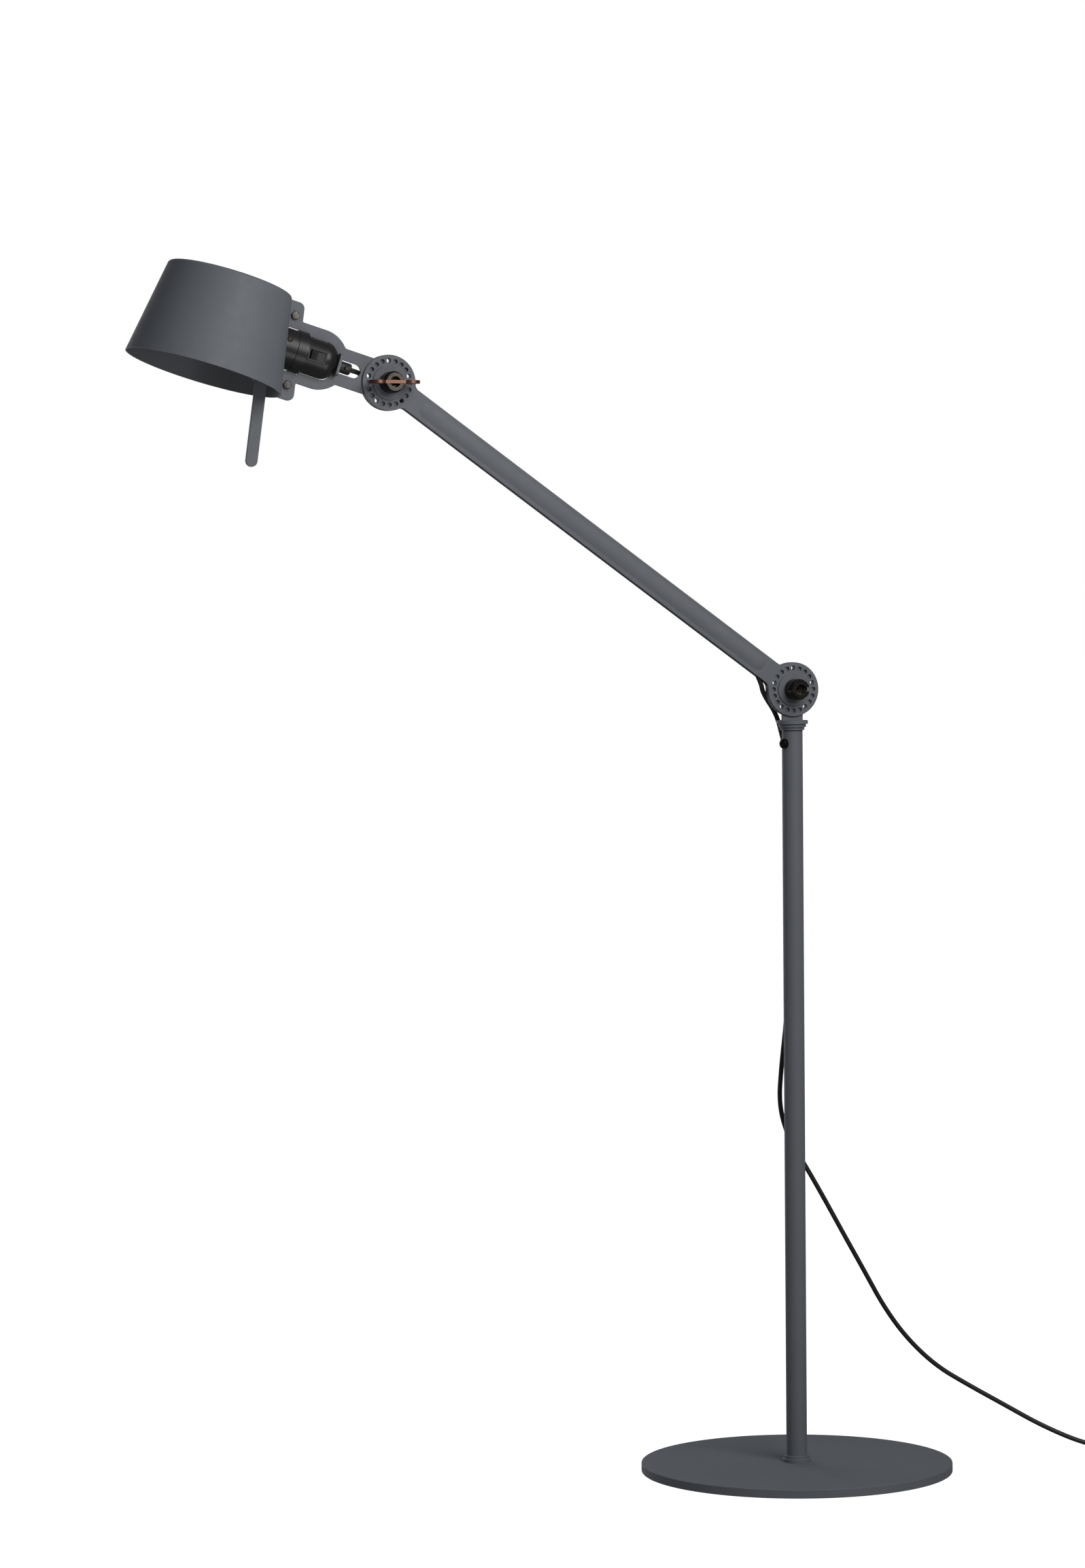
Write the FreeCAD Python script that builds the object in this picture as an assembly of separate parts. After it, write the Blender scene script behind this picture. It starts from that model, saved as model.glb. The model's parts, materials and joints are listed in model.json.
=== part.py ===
import FreeCAD, Part

import math
import os

# A floor-standing architect lamp with one pivoting arm. Millimetres, +Z up.
# The origin is on the floor under the pole. The arm reaches towards -X, and the front is -Y.
# Parts are built in a frame of their own: +X away from the pole, +Y to the front, +Z up.

V = FreeCAD.Vector
OUT = V(1, 0, 0)
FRONT = V(0, 1, 0)
UP = V(0, 0, 1)

# ---- driving dimensions ----
BASE_R = 150.0
BASE_T = 8.3
PAD_T = 0.4
PAD_R = 144.0
POLE_R = 10.0
POLE_WALL = 2.0
ELBOW_H = 754.0
ARM_L = 498.0
ARM_TILT = 35.56
HEAD_TILT = 17.4

JOINT_R = 26.0           # disc at each end of the arm
HOLE_RING_R = 20.5
HOLE_R = 2.2
PLATE_T = 1.6            # pressed arm plates
PLATE_GAP = 4.8          # space between the two arm plates
MID_T = 3.0              # tab and bracket plates that turn between them
ARM_W = 22.0
WASHER_R = 16.2
WASHER_T = 1.5
BOLT_R = 4.0
RUN = 0.05               # radial running clearance
FACE = 0.02              # gap between flat faces that turn on each other

NUT_R = 10.0
NUT_L = 17.5
NUT_BORE = 5.3
SLOT_W = 4.0
SLOT_DEPTH = 9.0

SHADE_U = 172.0          # shade axis, measured out from the head joint
SHADE_LOW = -45.8
SHADE_HIGH = 44.5
SHADE_R_LOW = 74.0
SHADE_R_HIGH = 58.8
SHADE_T = 1.2

HOLDER_STEP = 86.2       # where the lampholder's cap meets its skirt
HOLDER_END = 54.2
HOLDER_MOUTH = 124.0
CAP_R = 17.25
CAP_ROUND = 12.0
SKIRT_R = 19.0
ROCKER_U = 77.2
TAB_U = 51.5
TAB_T = 2.5

RIVET_HEAD = [(0, 0), (2.6, 0), (2.1, 1.0), (0, 1.3)]
CORD_R = 2.3
COIL_R = 26.0            # middle of the put-away coil's turns

# ---- derived places ----
BASE_TOP = PAD_T + BASE_T
COLLAR_TOP = ELBOW_H - 29.7
COLLAR_LOW = COLLAR_TOP - 9.4
FLANGE_T = 0.8
POLE_TOP = COLLAR_LOW - FACE - FLANGE_T
LOCK_Z = 702.0
ARM_COS = math.cos(math.radians(ARM_TILT))
ARM_SIN = math.sin(math.radians(ARM_TILT))
HEAD_X = -ARM_L * ARM_COS
HEAD_Z = ELBOW_H + ARM_L * ARM_SIN
ARM_IN = PLATE_GAP / 2
ARM_OUT = ARM_IN + PLATE_T
STACK = ARM_OUT + WASHER_T
WALL_SLOPE = (SHADE_R_LOW - SHADE_R_HIGH) / (SHADE_HIGH - SHADE_LOW)


def tilted(origin, degrees):
    """A frame with +X away from the pole and up by the angle, and +Y to the front."""
    a = math.radians(degrees)
    out = V(-math.cos(a), 0, math.sin(a))
    up = V(math.sin(a), 0, math.cos(a))
    return FreeCAD.Placement(origin, FreeCAD.Rotation(out, V(0, -1, 0), up, "XYZ"))


STAND = tilted(V(0, 0, 0), 0)
ELBOW = tilted(V(0, 0, ELBOW_H), 0)
ARM = tilted(V(0, 0, ELBOW_H), ARM_TILT)
HEAD = tilted(V(HEAD_X, 0, HEAD_Z), HEAD_TILT)
HEAD_LEVEL = tilted(V(HEAD_X, 0, HEAD_Z), 0)
WORLD = FreeCAD.Placement()


def save(name, frame, *shapes):
    """Write one node from solids that were built in the given frame."""
    placed = []
    for shape in shapes:
        copy = shape.copy()
        copy.Placement = frame.multiply(copy.Placement)
        placed.append(copy)
    node = placed[0] if len(placed) == 1 else Part.makeCompound(placed)
    if not node.isValid() or not node.Solids:
        raise RuntimeError(name + " is not a valid solid")
    node.exportStep(os.path.join("parts", name + ".step"))
    print("%-22s %d solid(s) %10.1f mm3" % (name, len(node.Solids), node.Volume))


# ---- small shape helpers ----
def rod(radius, start, end):
    run = end - start
    return Part.makeCylinder(radius, run.Length, start, run)


def block(low, high):
    size = high - low
    return Part.makeBox(size.x, size.y, size.z, low)


def cut(shape, *tools):
    return shape.cut(list(tools))


def fuse(shape, *others):
    return shape.fuse(list(others)).removeSplitter()


def turned(profile, start=V(0, 0, 0), axis=UP):
    """A closed (radius, height) outline turned about an axis through the start."""
    wire = Part.makePolygon([V(r, 0, h) for r, h in profile + profile[:1]])
    solid = Part.Face(wire).revolve(V(0, 0, 0), UP, 360)
    solid = Part.Solid(solid.Shells[0]) if solid.ShapeType != "Solid" else solid
    solid.Placement = FreeCAD.Placement(start, FreeCAD.Rotation(UP, axis))
    return solid


def prism(points, low, high):
    """A flat outline of (out, up) points, thickened along +Y."""
    wire = Part.makePolygon([V(x, low, z) for x, z in points + points[:1]])
    return Part.Face(wire).extrude(V(0, high - low, 0))


def disc(radius, low, high, x=0.0, z=0.0):
    return rod(radius, V(x, low, z), V(x, high, z))


def hexagon(across_flats, low, high, x=0.0, z=0.0):
    """A six-sided prism along +Y."""
    corner = across_flats / math.sqrt(3)
    angles = [math.radians(60 * i) for i in range(6)]
    return prism([(x + corner * math.cos(a), z + corner * math.sin(a)) for a in angles], low, high)


def stadium(first, last, radius, y):
    """A closed round-ended outline along +X, in the plane of the arm."""
    top_a, top_b = V(first, y, radius), V(last, y, radius)
    low_a, low_b = V(first, y, -radius), V(last, y, -radius)
    edges = [
        Part.LineSegment(top_a, top_b).toShape(),
        Part.Arc(top_b, V(last + radius, y, 0), low_b).toShape(),
        Part.LineSegment(low_b, low_a).toShape(),
        Part.Arc(low_a, V(first - radius, y, 0), top_a).toShape(),
    ]
    return Part.Wire(edges)


def ridge(first, last, half_w, rise, base, sunk):
    """A low rounded ridge along +X with rounded ends, on the plane y = base and sunk a little below it."""
    radius = (half_w ** 2 + rise ** 2) / (2 * rise)
    middle_y = base + rise - radius
    ends = [Part.makeSphere(radius, V(x, middle_y, 0)) for x in (first, last)]
    whole = rod(radius, V(first, middle_y, 0), V(last, middle_y, 0)).fuse(ends)
    low, high = V(first - radius, base - sunk, -radius), V(last + radius, base + rise + 1, radius)
    return whole.common(block(low, high))


def edges_along(shape, direction, points, reach=0.2):
    """The straight edges along a direction that pass near the given (x, z) points."""
    found = []
    for edge in shape.Edges:
        if edge.Curve.TypeId != "Part::GeomLine":
            continue
        if abs(edge.tangentAt(edge.FirstParameter).dot(direction)) < 0.999:
            continue
        middle = edge.CenterOfMass
        if any(math.hypot(middle.x - x, middle.z - z) < reach for x, z in points):
            found.append(edge)
    return found


def all_edges_along(shape, direction):
    return [e for e in shape.Edges if abs(e.tangentAt(e.FirstParameter).dot(direction)) > 0.999]


def circles_at(shape, x):
    """The round edges whose centre is this far out."""
    circles = [e for e in shape.Edges if e.Curve.TypeId == "Part::GeomCircle"]
    return [e for e in circles if abs(e.CenterOfMass.x - x) < 0.1]


def ring_of_holes(count, radius, low, high, tilt=0.0):
    """Drills on the joint's hole ring, the first straight above the centre in the world."""
    drills = []
    for i in range(count):
        a = math.radians(90.0 - tilt + 360.0 * i / count)
        x, z = HOLE_RING_R * math.cos(a), HOLE_RING_R * math.sin(a)
        drills.append(disc(radius, low, high, x, z))
    return drills


# ---- cords ----
def path_with_arcs(name, points):
    """Straight runs joined by tangent arcs, each as large as its two runs allow."""
    edges, at, radii = [], points[0], []
    for before, corner, after in zip(points, points[1:], points[2:]):
        into, away = corner - before, after - corner
        shorter = min(into.Length, away.Length)
        turn = into.getAngle(away)
        reach = 0.45 * shorter
        radii.append(reach / math.tan(turn / 2))
        into.normalize()
        away.normalize()
        first, last = corner - into * reach, corner + away * reach
        inward = (away - into).normalize()
        # the arc's middle lies on the line from the corner towards the arc's centre
        middle = corner + inward * (radii[-1] / math.cos(turn / 2) - radii[-1])
        edges.append(Part.LineSegment(at, first).toShape())
        edges.append(Part.Arc(first, middle, last).toShape())
        at = last
    edges.append(Part.LineSegment(at, points[-1]).toShape())
    print(name, "radii", [round(r) for r in radii])
    return Part.Wire(edges)


def cord_tube(name, route):
    points = [V(*p) for p in route]
    path = path_with_arcs(name, points)
    along = points[1] - points[0]
    mouth = Part.Wire([Part.Circle(points[0], along, CORD_R).toShape()])
    tube = path.makePipeShell([mouth], True, False)
    expected = math.pi * CORD_R ** 2 * path.Length
    print("  length %.1f, volume / (section x length) %.4f" % (path.Length, tube.Volume / expected))
    return tube


# Routes in the world frame. Each one starts where the one before it ends.
HEAD_CORD = [
    (HEAD_X - 46.28, 0.0, HEAD_Z + 14.5), (HEAD_X - 34.35, 0.0, HEAD_Z + 10.77),
    (HEAD_X - 24.3, 7.8, HEAD_Z + 8.9), (HEAD_X - 14.5, 9.2, HEAD_Z - 2.0),
    (HEAD_X - 2.5, 9.0, HEAD_Z - 13.0), (HEAD_X + 15.3, 8.6, HEAD_Z - 16.8),
    (HEAD_X + 31.0, 7.2, HEAD_Z - 23.6), (HEAD_X + 43.9, 3.0, HEAD_Z - 31.5),
    (HEAD_X + 55.0, 0.0, HEAD_Z - 39.33), (HEAD_X + 67.5, 0.0, HEAD_Z - 48.26),
]
ARM_CORD_S = [(ARM_L - 82.98, 0.0), (88.0, 0.0), (62.0, -2.0), (45.0, -5.5), (37.25, -9.6)]
ARM_CORD = [(-s * ARM_COS + n * ARM_SIN, 0.0, ELBOW_H + s * ARM_SIN + n * ARM_COS) for s, n in ARM_CORD_S]
ELBOW_CORD = [
    ARM_CORD[-1], (-31.97, 0.0, 760.0), (-28.3, 5.6, 752.3), (-22.5, 7.4, 743.5),
    (-15.1, 10.6, 735.0), (-8.1, 15.7, 724.5), (-6.0, 16.45, 717.75),
]
SWIVEL_CORD = [ELBOW_CORD[-1], (-3.9, 17.2, 711.0), (-0.4, 17.0, 697.5), (2.6, 15.6, 681.0),
               (4.7, 13.3, 664.0), (5.0, 13.0, 659.0)]
CLIP_Z = 655.0
CLIP_HALF = 4.0


def build_stand():
    plate = rod(BASE_R, V(0, 0, PAD_T), V(0, 0, BASE_TOP))
    rims = [e for e in plate.Edges if e.Curve.TypeId == "Part::GeomCircle"]
    plate = plate.makeFillet(0.6, rims)
    bolt_seat = BASE_TOP - 4.2
    plate = cut(
        plate,
        rod(13.0, V(0, 0, PAD_T), V(0, 0, bolt_seat)),
        rod(5.2, V(0, 0, bolt_seat), V(0, 0, BASE_TOP)),
    )
    save("base_plate", STAND, plate)
    save("base_pad", STAND, rod(PAD_R, V(0, 0, 0), V(0, 0, PAD_T)))
    washer_low, washer_high = V(0, 0, bolt_seat - 1), V(0, 0, bolt_seat)
    washer = cut(rod(12.0, washer_low, washer_high), rod(5.2, washer_low, washer_high))
    save("base_washer", STAND, washer)
    head = hexagon(16.0, 0, 2.6)
    head.Placement = FreeCAD.Placement(V(0, 0, bolt_seat - 3.6), FreeCAD.Rotation(FRONT, UP))
    bolt = fuse(head, rod(4.95, V(0, 0, bolt_seat - 1.0), V(0, 0, BASE_TOP + 26)))
    save("base_bolt", STAND, bolt)

    insert = cut(
        rod(POLE_R - POLE_WALL - 0.03, V(0, 0, BASE_TOP), V(0, 0, BASE_TOP + 34)),
        rod(5.0, V(0, 0, BASE_TOP), V(0, 0, BASE_TOP + 30)),
    )
    save("pole_foot_insert", STAND, insert)
    collar = turned([(10.05, BASE_TOP), (13.5, BASE_TOP), (13.5, BASE_TOP + 3.3), (13.1, BASE_TOP + 3.8),
                     (11.9, BASE_TOP + 3.8), (11.9, BASE_TOP + 6.0), (11.5, BASE_TOP + 6.5),
                     (10.05, BASE_TOP + 6.5)])
    save("foot_collar", STAND, collar)

    lock_turn = math.radians(66)
    lock_way = V(math.sin(lock_turn), math.cos(lock_turn), 0)
    lock_at = V(0, 0, LOCK_Z)
    clip_way = V(-5.0, -13.0, 0).normalize()
    tube = cut(
        rod(POLE_R, V(0, 0, BASE_TOP), V(0, 0, POLE_TOP)),
        rod(POLE_R - POLE_WALL, V(0, 0, BASE_TOP), V(0, 0, POLE_TOP)),
        rod(2.05, lock_at, lock_at + lock_way * 12),
        rod(1.25, V(0, 0, CLIP_Z), V(0, 0, CLIP_Z) + clip_way * 12),
    )
    save("pole", STAND, tube)
    bush = turned([(6.5 + RUN, POLE_TOP - 42), (7.97, POLE_TOP - 42), (7.97, POLE_TOP), (POLE_R, POLE_TOP),
                   (POLE_R, POLE_TOP + FLANGE_T), (6.5 + RUN, POLE_TOP + FLANGE_T)])
    bush = cut(bush, rod(2.05, lock_at, lock_at + lock_way * 12))
    save("pole_bush", STAND, bush)

    # round-headed screw whose plain tip runs in the spigot's groove
    dome_h = 4.7
    dome = turned([(0, 0), (4.6, 0), (4.6, 2.7), (4.35, 3.6), (3.6, 4.3), (2.5, dome_h), (0, dome_h)],
                  lock_at + lock_way * POLE_R, lock_way)
    socket = hexagon(2.6, -2, 2)
    dome_top = lock_at + lock_way * (POLE_R + dome_h)
    socket.Placement = FreeCAD.Placement(dome_top, FreeCAD.Rotation(FRONT, lock_way))
    screw = cut(fuse(dome, rod(2.0, lock_at + lock_way * 5.6, lock_at + lock_way * POLE_R)), socket)
    save("swivel_lock_screw", STAND, screw)


def build_cord_clip():
    """A moulded snap-in cradle behind the pole, with a sunk screw under the cord."""
    way = V(5.0, 13.0, 0)
    reach = way.Length
    low, high = -CLIP_HALF, CLIP_HALF
    seat = POLE_R + 1.4
    clip = fuse(
        block(V(POLE_R - 1, -4.2, low), V(reach, 4.2, high)),
        rod(4.2, V(reach, 0, low), V(reach, 0, high)),
    )
    clip = cut(
        clip,
        rod(POLE_R + 0.1, V(0, 0, low), V(0, 0, high)),
        rod(CORD_R + 0.2, V(reach, 0, low), V(reach, 0, high)),
        block(V(reach, -1.7, low), V(reach + 6, 1.7, high)),
        rod(2.6, V(seat - 1.0, 0, 0), V(reach, 0, 0)),
        rod(1.35, V(0, 0, 0), V(reach, 0, 0)),
    )
    head = turned([(0, 0), (1.2, 0), (2.4, 1.0), (0, 1.0)], V(seat - 1.0, 0, 0), OUT)
    screw = fuse(head, rod(1.2, V(POLE_R - 3.5, 0, 0), V(seat - 1.0, 0, 0)))
    frame = FreeCAD.Placement(V(0, 0, CLIP_Z), FreeCAD.Rotation(OUT, way))
    save("cord_clip", frame, clip)
    save("cord_clip_screw", frame, screw)


def build_swivel():
    steps = [(0, COLLAR_LOW), (11.65, COLLAR_LOW), (11.65, COLLAR_LOW + 2.8), (13.25, COLLAR_LOW + 2.8),
             (13.25, COLLAR_LOW + 5.9), (15.15, COLLAR_LOW + 5.9), (15.15, COLLAR_TOP - 0.4),
             (14.75, COLLAR_TOP), (0, COLLAR_TOP)]
    slot_z = COLLAR_TOP - 4.0
    groove = (LOCK_Z - 2.4, LOCK_Z + 2.4)
    spigot = [(0, COLLAR_LOW - 38), (5.9, COLLAR_LOW - 38), (6.5, COLLAR_LOW - 37.4), (6.5, groove[0]),
              (5.4, groove[0]), (5.4, groove[1]), (6.5, groove[1]), (6.5, COLLAR_LOW), (0, COLLAR_LOW)]
    collar = cut(
        fuse(turned(steps), turned(spigot)),
        block(V(-10.5, -MID_T / 2, slot_z), V(10.5, MID_T / 2, COLLAR_TOP)),
    )
    save("swivel_collar", STAND, collar)

    half = MID_T / 2
    neck_low = slot_z - ELBOW_H
    tab = fuse(disc(JOINT_R, -half, half), block(V(-10.5, -half, neck_low), V(10.5, half, 0)))
    corner_z = -math.sqrt(JOINT_R ** 2 - 10.5 ** 2)
    tab = tab.makeFillet(2.0, edges_along(tab, FRONT, [(10.5, corner_z), (-10.5, corner_z)]))
    tab = cut(tab, disc(BOLT_R + RUN, -half, half), *ring_of_holes(5, HOLE_R, -half, half))
    save("elbow_tab", ELBOW, tab)


def arm_plate():
    """The front plate: a bar with a drilled disc at each end and a raised rib between them."""
    low, high = ARM_IN, ARM_OUT
    bar = block(V(0, low, -ARM_W / 2), V(ARM_L, high, ARM_W / 2))
    plate = fuse(bar, disc(JOINT_R, low, high), disc(JOINT_R, low, high, ARM_L))
    meet = math.sqrt(JOINT_R ** 2 - (ARM_W / 2) ** 2)
    corners = [(x, z) for x in (meet, ARM_L - meet) for z in (ARM_W / 2, -ARM_W / 2)]
    plate = plate.makeFillet(7.0, edges_along(plate, FRONT, corners))
    face = max(plate.Faces, key=lambda f: f.CenterOfMass.y if f.normalAt(0, 0).y > 0.9 else -1)
    plate = plate.makeChamfer(0.3, face.OuterWire.Edges)
    rib_in, rib_half_w, rib_rise = 45.0, 7.2, 1.3
    plate = fuse(plate, ridge(rib_in, ARM_L - rib_in, rib_half_w, rib_rise, high, 0.3))
    plate = cut(plate, ridge(rib_in, ARM_L - rib_in, rib_half_w, rib_rise, low, 1.0))
    drills = [disc(BOLT_R + RUN, low, high), disc(BOLT_R + RUN, low, high, ARM_L)]
    for x in (0, ARM_L):
        for drill in ring_of_holes(20, HOLE_R, low, high, ARM_TILT):
            drill.translate(V(x, 0, 0))
            drills.append(drill)
    return cut(plate, *drills)


def build_arm():
    front = arm_plate()
    save("arm_plate_front", ARM, front)
    rear = front.mirror(V(0, 0, 0), FRONT)
    cable_slot = Part.Face(stadium(ARM_L - 60.0, ARM_L - 41.0, 3.7, -ARM_IN + 0.5)).extrude(V(0, -4, 0))
    save("arm_plate_rear", ARM, cut(rear, cable_slot))


def build_joint(name, frame):
    """Friction washers, outer washers and the bolt at one of the arm's two joints."""
    half = MID_T / 2 + FACE
    fibre = cut(disc(15.0, half, ARM_IN), disc(BOLT_R + 0.2, half, ARM_IN))
    save(name + "_friction_washers", frame, fibre, fibre.mirror(V(0, 0, 0), FRONT))
    outer = turned([(BOLT_R + 0.1, ARM_OUT), (WASHER_R, ARM_OUT), (WASHER_R, STACK - 0.5),
                    (WASHER_R - 0.5, STACK), (BOLT_R + 0.1, STACK)], axis=FRONT)
    save(name + "_outer_washers", frame, outer, outer.mirror(V(0, 0, 0), FRONT))
    head = turned([(0, STACK), (8.0, STACK), (8.0, STACK + 1.6), (6.8, STACK + 3.8), (4.4, STACK + 4.6),
                   (0, STACK + 4.6)], axis=V(0, -1, 0))
    shank = rod(BOLT_R, V(0, -STACK, 0), V(0, STACK + 8.6, 0))
    socket = hexagon(5.0, -STACK - 4.6, -STACK - 2.0)
    end_socket = hexagon(4.0, STACK + 6.2, STACK + 8.6)
    save(name + "_bolt", frame, cut(fuse(head, shank), socket, end_socket))


def clamp_nut():
    """A tubular nut with a cross slot that takes the wing key."""
    low = STACK + FACE
    high = low + NUT_L
    body = turned([(BOLT_R + RUN, low), (NUT_R - 0.4, low), (NUT_R, low + 0.4), (NUT_R, high - 5.0),
                   (NUT_R - 0.6, high - 4.4), (9.0, high - 0.8), (8.3, high), (NUT_BORE, high),
                   (NUT_BORE, high - SLOT_DEPTH), (BOLT_R + RUN, high - SLOT_DEPTH)], axis=FRONT)
    slot = block(V(-NUT_R, high - SLOT_DEPTH, -SLOT_W / 2), V(NUT_R, high, SLOT_W / 2))
    return cut(body, slot)


def build_nuts():
    save("elbow_clamp_nut", ELBOW, clamp_nut())
    save("head_clamp_nut", HEAD_LEVEL, clamp_nut())
    # flat key with two round wings, pushed into the nut's slot
    back = STACK + FACE + NUT_L - SLOT_DEPTH + 0.1
    front = STACK + FACE + NUT_L + 1.0
    half_t = 1.5
    middle_y = (back + front) / 2
    wing_x, wing_r = 16.0, 8.6
    key = block(V(-wing_x, back, -half_t), V(wing_x, front, half_t))
    wings = []
    for side in (-1, 1):
        at = V(side * wing_x, middle_y, 0)
        wings.append(rod(wing_r, at - UP * half_t, at + UP * half_t))
        bead = turned([(0, -1.9), (3.2, -1.9), (6.4, -half_t), (6.4, half_t), (3.2, 1.9), (0, 1.9)], at)
        wings.append(bead)
    key = fuse(key, *wings)
    keep = cut(rod(60, V(0, 0, -5), V(0, 0, 5)), disc(NUT_R + 0.2, 0, 60))
    blade = block(V(-NUT_BORE - 6, back, -half_t), V(NUT_BORE + 6, front, half_t))
    save("wing_key", HEAD_LEVEL, fuse(key.common(keep), blade))


def wall_u(v):
    """Where the shade's outer wall crosses the bracket's plane."""
    return SHADE_U - (SHADE_R_LOW - (v - SHADE_LOW) * WALL_SLOPE)


def build_bracket():
    low, high = -MID_T / 2, MID_T / 2
    inner = 15.5
    gap = 0.4
    ends = (SHADE_LOW, SHADE_HIGH)
    rounded = [(wall_u(v) - inner, v) for v in ends]
    near_wall = [(wall_u(v) - gap, v) for v in reversed(ends)]
    crossbar = prism(rounded + near_wall, low, high)
    crossbar = crossbar.makeFillet(6.0, edges_along(crossbar, FRONT, rounded))
    body = prism([(70.5, -28), (wall_u(-28) - 2, -28), (wall_u(28) - 2, 28), (70.5, 28)], low, high)
    bracket = fuse(
        disc(JOINT_R, low, high),
        block(V(0, low, -17.5), V(60, high, 17.5)),
        disc(28.0, low, high, 70.5),
        body,
        crossbar,
    )
    meet = 70.5 - math.sqrt(28.0 ** 2 - 17.5 ** 2)
    neck = math.sqrt(JOINT_R ** 2 - 17.5 ** 2)
    bracket = bracket.makeFillet(4.0, edges_along(bracket, FRONT, [(meet, 17.5), (meet, -17.5)]))
    bracket = bracket.makeFillet(3.0, edges_along(bracket, FRONT, [(neck, 17.5), (neck, -17.5)]))
    arms = [(wall_u(v) - inner, v) for v in (-28, 28)]
    bracket = bracket.makeFillet(1.2, edges_along(bracket, FRONT, arms))
    face = max(bracket.Faces, key=lambda f: f.CenterOfMass.y if f.normalAt(0, 0).y > 0.9 else -9)
    bracket = bracket.makeChamfer(0.3, face.OuterWire.Edges)
    cap_room, skirt_room = CAP_R + 0.45, SKIRT_R + 0.9
    pocket_left = HOLDER_END - 0.15
    pocket = block(V(pocket_left, low, -cap_room), V(130, high, cap_room))
    corners = [(pocket_left, side * cap_room) for side in (-1, 1)]
    pocket = pocket.makeFillet(CAP_ROUND, edges_along(pocket, FRONT, corners))
    tongue = block(V(wall_u(-31) - 8, low, -38), V(126, high, -26))
    tongue = tongue.makeFillet(3.0, edges_along(tongue, FRONT, [(126, -38), (126, -26)]))
    bracket = cut(
        fuse(bracket, tongue),
        pocket,
        block(V(HOLDER_STEP - 0.4, low, -skirt_room), V(130, high, skirt_room)),
        block(V(TAB_U, low, -10.6), V(TAB_U + TAB_T, high, 10.6)),
        block(V(35.0, low, -6.5), V(TAB_U + 4, high, 6.5)),
        disc(6.5, low, high, 35.0),
        disc(BOLT_R + RUN, low, high),
        disc(2.1, low, high, 103.9, 31.5),
        disc(2.1, low, high, 93.0, -32.0),
        disc(1.6, low, high, 119.0, -29.2),
        disc(1.6, low, high, 118.0, -34.8),
        *ring_of_holes(5, HOLE_R, low, high, HEAD_TILT),
    )
    save("head_bracket", HEAD, bracket)
    tab = block(V(TAB_U, -12, -10.5), V(TAB_U + TAB_T, 12, 10.5))
    tab = tab.makeFillet(3.0, all_edges_along(tab, OUT))
    save("holder_tab", HEAD, cut(tab, rod(5.05, V(TAB_U, 0, 0), V(TAB_U + TAB_T, 0, 0))))


def build_shade():
    roll = 3.0
    inner_low, inner_high = SHADE_R_LOW - SHADE_T, SHADE_R_HIGH - SHADE_T
    centre = V(SHADE_U, 0, 0)
    outside = turned([(0, SHADE_LOW), (SHADE_R_LOW, SHADE_LOW), (SHADE_R_HIGH, SHADE_HIGH), (0, SHADE_HIGH)],
                     centre)
    top = [e for e in outside.Edges if e.CenterOfMass.z > SHADE_HIGH - 0.1]
    outside = outside.makeFillet(roll, [e for e in top if e.Curve.TypeId == "Part::GeomCircle"])
    inside = turned([(0, SHADE_LOW), (inner_low, SHADE_LOW), (inner_high, SHADE_HIGH - SHADE_T),
                     (0, SHADE_HIGH - SHADE_T)], centre)
    top = [e for e in inside.Edges if e.CenterOfMass.z > SHADE_HIGH - SHADE_T - 0.1]
    inside = inside.makeFillet(roll - SHADE_T, [e for e in top if e.Curve.TypeId == "Part::GeomCircle"])
    rivets = [rod(1.6, V(92, -10, v), V(130, -10, v)) for v in (36.0, -36.0)]
    shade = cut(
        outside,
        inside,
        rod(20.2, V(90, 0, 0), V(125, 0, 0)),
        block(V(90, -1.8, -38.3), V(112, 1.8, -25.7)),
        *rivets,
    )
    save("shade", HEAD, shade)

    # ears on the shade's wall, behind the bracket, and the screws that join the two
    ears, ear_rivets, screws, nuts = [], [], [], []
    for screw_u, screw_v in ((103.9, 31.5), (93.0, -32.0)):
        rivet_v = math.copysign(36.0, screw_v)
        low_v, high_v = min(screw_v, rivet_v) - 7, max(screw_v, rivet_v) + 7
        leg = block(V(screw_u - 6, -MID_T / 2 - 1.5, low_v), V(screw_u + 20, -MID_T / 2, high_v))
        foot = block(V(screw_u - 6, -17.0, low_v), V(screw_u + 20, -MID_T / 2, high_v))
        ear = fuse(leg, foot.common(grown_cone(1.5))).cut(grown_cone(0.05))
        rivet_hole = rod(1.6, V(80, -10, rivet_v), V(130, -10, rivet_v))
        ear = cut(ear, disc(2.1, -4, 0, screw_u, screw_v), rivet_hole)
        ears.append(ear)
        wall = SHADE_U - math.sqrt((SHADE_U - wall_u(rivet_v)) ** 2 - 100.0)
        outer_end, inner_end = V(wall - 1.9, -10, rivet_v), V(wall + SHADE_T + 0.3, -10, rivet_v)
        heads = [turned(RIVET_HEAD, outer_end, -OUT), turned(RIVET_HEAD, inner_end, OUT)]
        ear_rivets.append(fuse(rod(1.5, outer_end, inner_end), *heads))
        head = disc(3.6, -MID_T / 2 - 1.5 - 2.4, -MID_T / 2 - 1.5, screw_u, screw_v)
        body = disc(2.0, -MID_T / 2 - 1.5, MID_T / 2 + 4.0, screw_u, screw_v)
        screws.append(cut(fuse(head, body), hexagon(3.0, -6.0, -3.9, screw_u, screw_v)))
        nut = hexagon(7.0, MID_T / 2, MID_T / 2 + 3.0, screw_u, screw_v)
        crown = turned([(0, 0), (3.3, 0), (4.05, 0.5), (4.05, 2.5), (3.3, 3.0), (0, 3.0)],
                       V(screw_u, MID_T / 2, screw_v), FRONT)
        nuts.append(cut(nut.common(crown), disc(2.03, 0, 6, screw_u, screw_v)))
    save("shade_ears", HEAD, *ears)
    save("ear_rivets", HEAD, *ear_rivets)
    save("shade_screws", HEAD, *screws)
    save("shade_nuts", HEAD, *nuts)


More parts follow.
